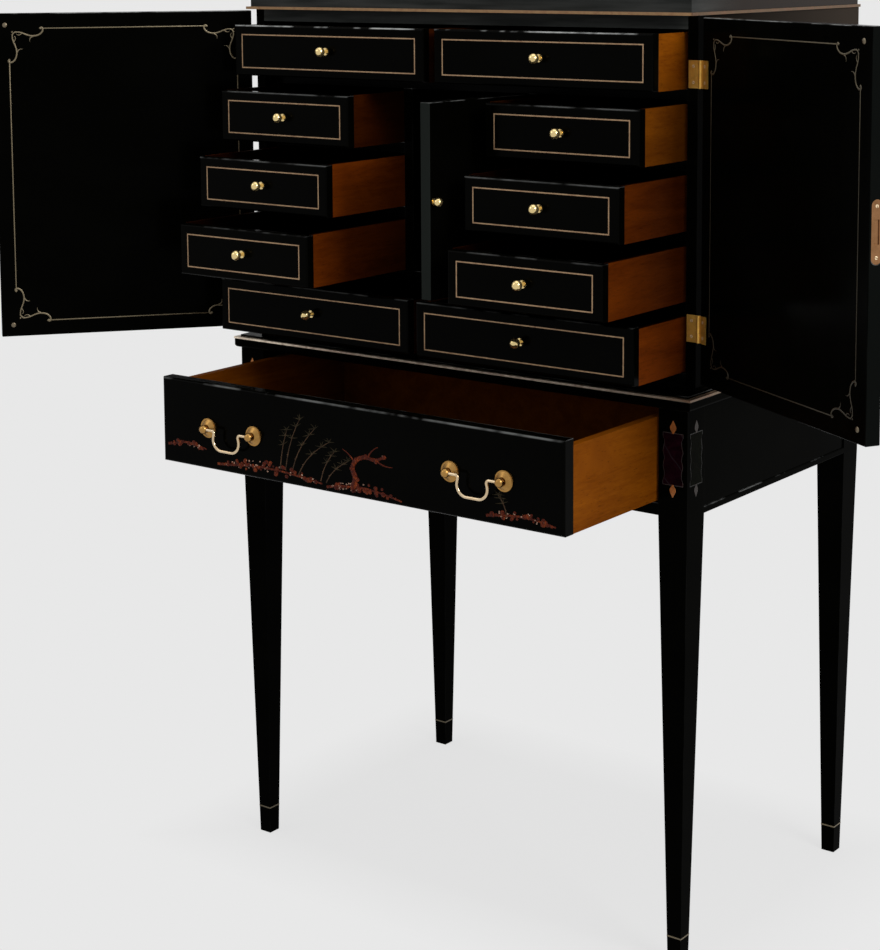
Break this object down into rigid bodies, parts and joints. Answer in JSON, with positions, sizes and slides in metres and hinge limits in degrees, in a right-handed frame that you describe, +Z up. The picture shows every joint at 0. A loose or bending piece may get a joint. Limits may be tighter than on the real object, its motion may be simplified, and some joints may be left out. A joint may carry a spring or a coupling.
{
  "type": "cabinet on stand",
  "caption": "Black lacquered cabinet with a pair of doors over an inner case of small drawers and a centre door, on a tapered-leg stand with a long drawer.",
  "frame": {"origin": "on the floor, midway between the four legs of the stand", "axes": "+Z up, -Y to the front, where the doors and drawers open, +X to the right as seen from the front"},
  "size_m": [1.4383, 0.7985, 1.416],
  "materials": {
    "black_lacquer": "black lacquer, gloss",
    "brass": "polished",
    "drawer_wood": "oiled, satin",
    "gilt": "gilded, satin",
    "inner_wood": "matt",
    "long_drawer_wood": "waxed, satin"
  },
  "bodies": {
    "case": {"front_legs": "black_lacquer", "back_legs": "black_lacquer", "side_aprons": "black_lacquer", "back_apron": "inner_wood", "front_rail": "black_lacquer", "drawer_runners": "inner_wood", "stand_top": "black_lacquer", "stand_bead": "gilt", "case_sides": "black_lacquer", "case_top_and_bottom": "black_lacquer", "case_back": "inner_wood", "case_uprights": "black_lacquer", "case_shelves": "black_lacquer", "cornice_bead": "gilt", "cornice": "black_lacquer", "case_hinges": "brass", "center_door_hinges": "brass"},
    "door_left": {"door_left": "black_lacquer", "hinge_leaves_left": "brass", "strike_plate": "brass"},
    "door_right": {"door_right": "black_lacquer", "hinge_leaves_right": "brass", "door_lock": "brass"},
    "center_door": {"center_door": "black_lacquer", "center_door_knob_and_leaves": "brass"},
    "long_drawer": {"long_drawer_front": "black_lacquer", "long_drawer_box": "long_drawer_wood", "bail_posts": "brass"},
    "bail_left": {"bail_left": "brass"},
    "bail_right": {"bail_right": "brass"},
    "drawer_top_left": {"top_left_front": "black_lacquer", "top_left_box": "drawer_wood", "top_left_knob": "brass"},
    "drawer_top_right": {"top_right_front": "black_lacquer", "top_right_box": "drawer_wood", "top_right_knob": "brass"},
    "drawer_upper_left": {"upper_left_front": "black_lacquer", "upper_left_box": "drawer_wood", "upper_left_knob": "brass"},
    "drawer_upper_right": {"upper_right_front": "black_lacquer", "upper_right_box": "drawer_wood", "upper_right_knob": "brass"},
    "drawer_middle_left": {"middle_left_front": "black_lacquer", "middle_left_box": "drawer_wood", "middle_left_knob": "brass"},
    "drawer_middle_right": {"middle_right_front": "black_lacquer", "middle_right_box": "drawer_wood", "middle_right_knob": "brass"},
    "drawer_lower_left": {"lower_left_front": "black_lacquer", "lower_left_box": "drawer_wood", "lower_left_knob": "brass"},
    "drawer_lower_right": {"lower_right_front": "black_lacquer", "lower_right_box": "drawer_wood", "lower_right_knob": "brass"},
    "drawer_bottom_left": {"bottom_left_front": "black_lacquer", "bottom_left_box": "drawer_wood", "bottom_left_knob": "brass"},
    "drawer_bottom_right": {"bottom_right_front": "black_lacquer", "bottom_right_box": "drawer_wood", "bottom_right_knob": "brass"}
  },
  "joints": [
    {"name": "door_left_hinge", "type": "hinge", "parent": "case", "child": "door_left", "pos_m": [-0.4045, -0.2255, 1.088], "axis": [0, 0, -1], "range_deg": [-45, 68]},
    {"name": "door_right_hinge", "type": "hinge", "parent": "case", "child": "door_right", "pos_m": [0.4045, -0.2255, 1.088], "axis": [0, 0, 1], "range_deg": [-66, 48]},
    {"name": "center_door_hinge", "type": "hinge", "parent": "case", "child": "center_door", "pos_m": [0.1059, -0.2045, 1.086], "axis": [0, 0, 1], "range_deg": [-86, 4]},
    {"name": "drawer_top_left_slide", "type": "slide", "parent": "case", "child": "drawer_top_left", "axis": [0, -1, 0], "range_m": [-0.0995, 0.2305]},
    {"name": "drawer_top_right_slide", "type": "slide", "parent": "case", "child": "drawer_top_right", "axis": [0, -1, 0], "range_m": [-0.0995, 0.2305]},
    {"name": "drawer_upper_left_slide", "type": "slide", "parent": "case", "child": "drawer_upper_left", "axis": [0, -1, 0], "range_m": [-0.1325, 0.1975]},
    {"name": "drawer_upper_right_slide", "type": "slide", "parent": "case", "child": "drawer_upper_right", "axis": [0, -1, 0], "range_m": [-0.1325, 0.1975]},
    {"name": "drawer_middle_left_slide", "type": "slide", "parent": "case", "child": "drawer_middle_left", "axis": [0, -1, 0], "range_m": [-0.183, 0.147]},
    {"name": "drawer_middle_right_slide", "type": "slide", "parent": "case", "child": "drawer_middle_right", "axis": [0, -1, 0], "range_m": [-0.183, 0.147]},
    {"name": "drawer_lower_left_slide", "type": "slide", "parent": "case", "child": "drawer_lower_left", "axis": [0, -1, 0], "range_m": [-0.228, 0.102]},
    {"name": "drawer_lower_right_slide", "type": "slide", "parent": "case", "child": "drawer_lower_right", "axis": [0, -1, 0], "range_m": [-0.222, 0.108]},
    {"name": "drawer_bottom_left_slide", "type": "slide", "parent": "case", "child": "drawer_bottom_left", "axis": [0, -1, 0], "range_m": [-0.14, 0.19]},
    {"name": "drawer_bottom_right_slide", "type": "slide", "parent": "case", "child": "drawer_bottom_right", "axis": [0, -1, 0], "range_m": [-0.1455, 0.1845]},
    {"name": "long_drawer_slide", "type": "slide", "parent": "case", "child": "long_drawer", "axis": [0, -1, 0], "range_m": [-0.23, 0.1]},
    {"name": "bail_left_swing", "type": "hinge", "parent": "long_drawer", "child": "bail_left", "pos_m": [-0.222, -0.502, 0.7355], "axis": [-1, 0, 0], "range_deg": [-15, 170]},
    {"name": "bail_right_swing", "type": "hinge", "parent": "long_drawer", "child": "bail_right", "pos_m": [0.222, -0.502, 0.7355], "axis": [-1, 0, 0], "range_deg": [-15, 170]}
  ]
}
